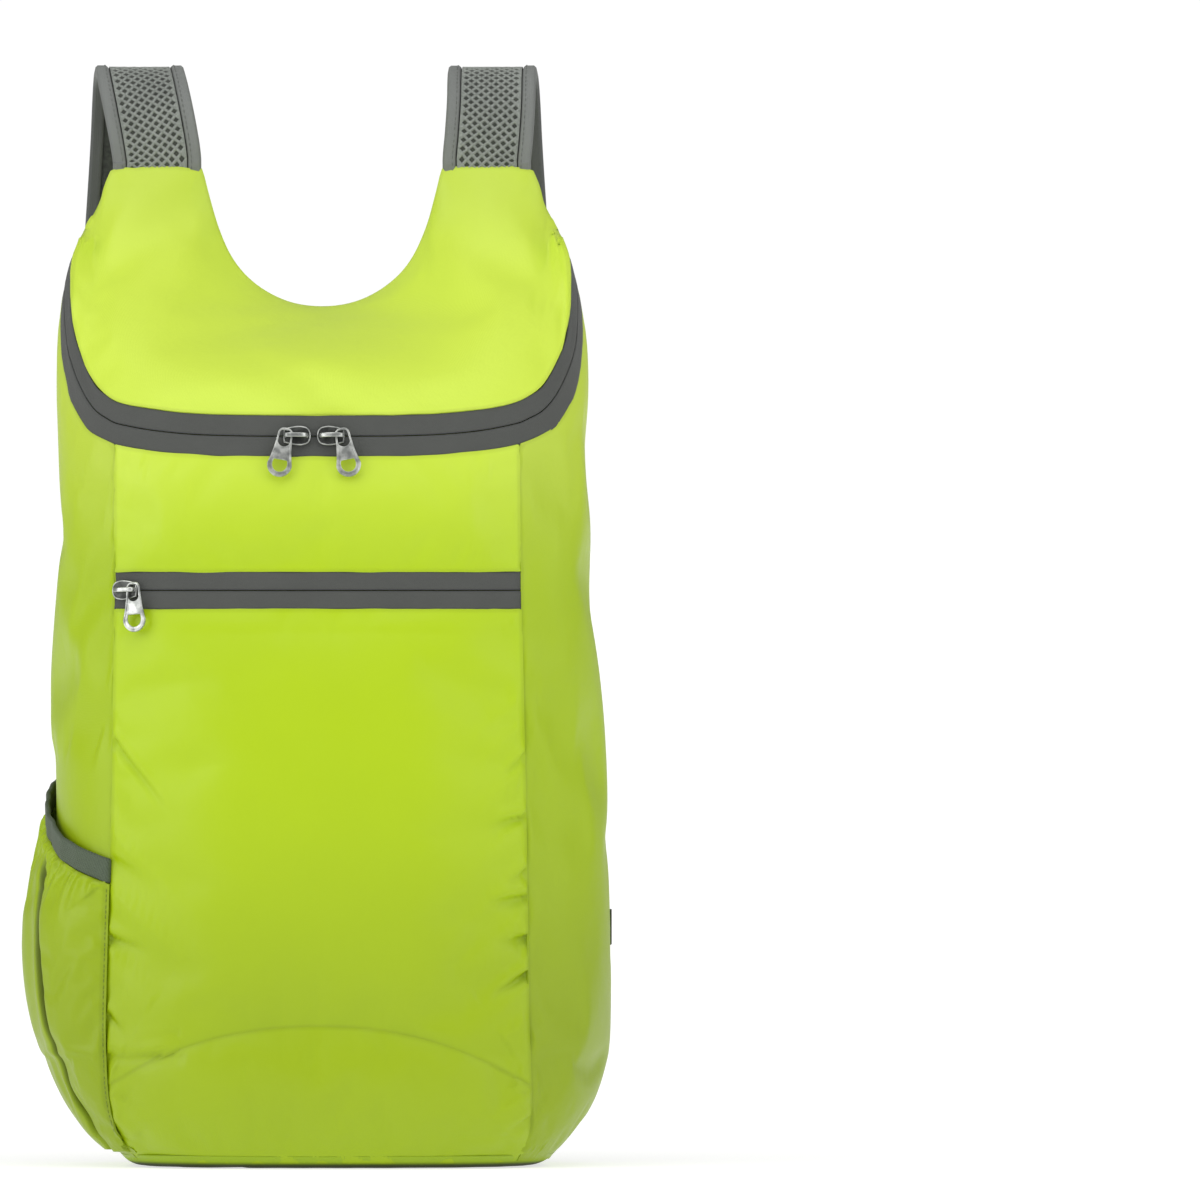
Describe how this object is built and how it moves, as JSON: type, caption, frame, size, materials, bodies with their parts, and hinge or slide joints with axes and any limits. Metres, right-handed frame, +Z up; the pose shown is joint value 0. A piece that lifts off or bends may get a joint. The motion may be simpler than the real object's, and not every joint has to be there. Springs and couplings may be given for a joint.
{
  "type": "packable backpack",
  "caption": "Lightweight packable nylon daypack with vest shoulders, mesh shoulder straps, a U-shaped main zip, a zipped front pocket and an open side pocket.",
  "frame": {"origin": "middle of the flat base, on the surface that the bag stands on", "axes": "+X to the viewer's right as the picture shows the front, +Y towards the wearer's back, +Z up"},
  "size_m": [0.2637, 0.1821, 0.4955],
  "materials": {
    "nylon": "lime green ripstop-weight nylon, satin",
    "zip_tape": "dark grey woven zip tape, matt",
    "strap_mesh": "grey spacer mesh over thin foam",
    "binding_tape": "grey binding tape, matt",
    "webbing": "dark grey-green woven webbing",
    "elastic": "dark grey-green elastic binding",
    "buckle_plastic": "dark moulded plastic, satin",
    "slider_metal": "satin nickel plate"
  },
  "bodies": {
    "bag": {"front_upper_panel": "nylon", "pocket_zip_tape_upper": "zip_tape", "pocket_zip_tape_lower": "zip_tape", "front_pocket_panel": "nylon", "front_toe_panel": "nylon", "side_panel_left": "nylon", "side_panel_right": "nylon", "base_panel": "nylon", "back_panel": "nylon", "main_zip_tape_lower": "zip_tape", "main_zip_tape_upper": "zip_tape", "lid_panel": "nylon", "main_slider_left": "slider_metal", "main_slider_right": "slider_metal", "pocket_slider": "slider_metal", "strap_pad_left": "strap_mesh", "strap_pad_right": "strap_mesh", "strap_binding_left_inner": "binding_tape", "strap_binding_left_outer": "binding_tape", "strap_binding_right_inner": "binding_tape", "strap_binding_right_outer": "binding_tape", "strap_loop_left": "webbing", "strap_loop_right": "webbing", "strap_webbing_left": "webbing", "strap_webbing_right": "webbing", "strap_anchor_left": "nylon", "strap_anchor_right": "nylon", "strap_buckle_left": "buckle_plastic", "strap_buckle_right": "buckle_plastic", "side_pocket": "nylon", "side_pocket_binding": "elastic", "side_tab": "webbing"},
    "main_pull_left": {"main_pull_left": "slider_metal"},
    "main_pull_right": {"main_pull_right": "slider_metal"},
    "pocket_pull": {"pocket_pull": "slider_metal"}
  },
  "joints": [
    {"name": "main_pull_left_swing", "type": "hinge", "parent": "bag", "child": "main_pull_left", "pos_m": [-0.01526, -0.05557, 0.32841], "axis": [0.0045, 0.9907, -0.1363], "range_deg": [-30, 150]},
    {"name": "main_pull_right_swing", "type": "hinge", "parent": "bag", "child": "main_pull_right", "pos_m": [0.01045, -0.05561, 0.32841], "axis": [0.0011, -0.9907, 0.1363], "range_deg": [-30, 150]},
    {"name": "pocket_pull_swing", "type": "hinge", "parent": "bag", "child": "pocket_pull", "pos_m": [-0.083, -0.05197, 0.25936], "axis": [-0.4555, -0.888, 0.0628], "range_deg": [-30, 150]}
  ]
}
